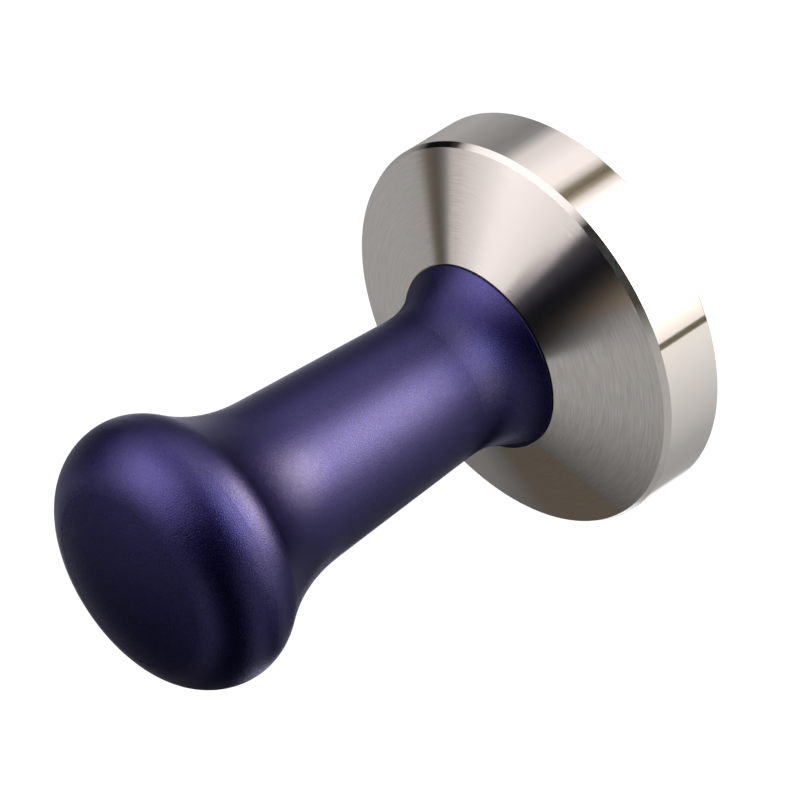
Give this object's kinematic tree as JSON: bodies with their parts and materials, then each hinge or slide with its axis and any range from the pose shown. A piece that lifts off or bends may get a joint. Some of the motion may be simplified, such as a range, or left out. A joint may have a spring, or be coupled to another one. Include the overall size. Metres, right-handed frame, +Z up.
{
  "type": "espresso tamper",
  "caption": "Espresso tamper with a flat steel piston base, conical on top, and a waisted anodised aluminium handle with a domed knob that screws onto it.",
  "frame": {"origin": "centre of the flat pressing face, which the tamper stands on", "axes": "+Z up along the axis of revolution, from the pressing face to the knob"},
  "size_m": [0.058, 0.058, 0.0829],
  "materials": {
    "base_steel": "fine turned, circumferential grain",
    "washer_nylon": "smooth black nylon",
    "handle_anodised": "bead blasted, blue-violet anodised, satin",
    "stud_steel": "rolled thread, plain stainless"
  },
  "bodies": {
    "base": {"base": "base_steel"},
    "washer": {"washer": "washer_nylon"},
    "handle": {"handle": "handle_anodised", "stud": "stud_steel"}
  },
  "joints": [
    {"name": "handle_lift", "type": "slide", "parent": "base", "child": "washer", "axis": [0, 0, 1], "range_m": [0, 0.01]},
    {"name": "handle_unscrew", "type": "hinge", "parent": "washer", "child": "handle", "pos_m": [0, 0, 0], "axis": [0, 0, 1], "range_deg": [0, 2880]}
  ],
  "couplings": [
    {"joint": "handle_unscrew", "follows": "handle_lift", "rad_per_m": 5026.5}
  ]
}
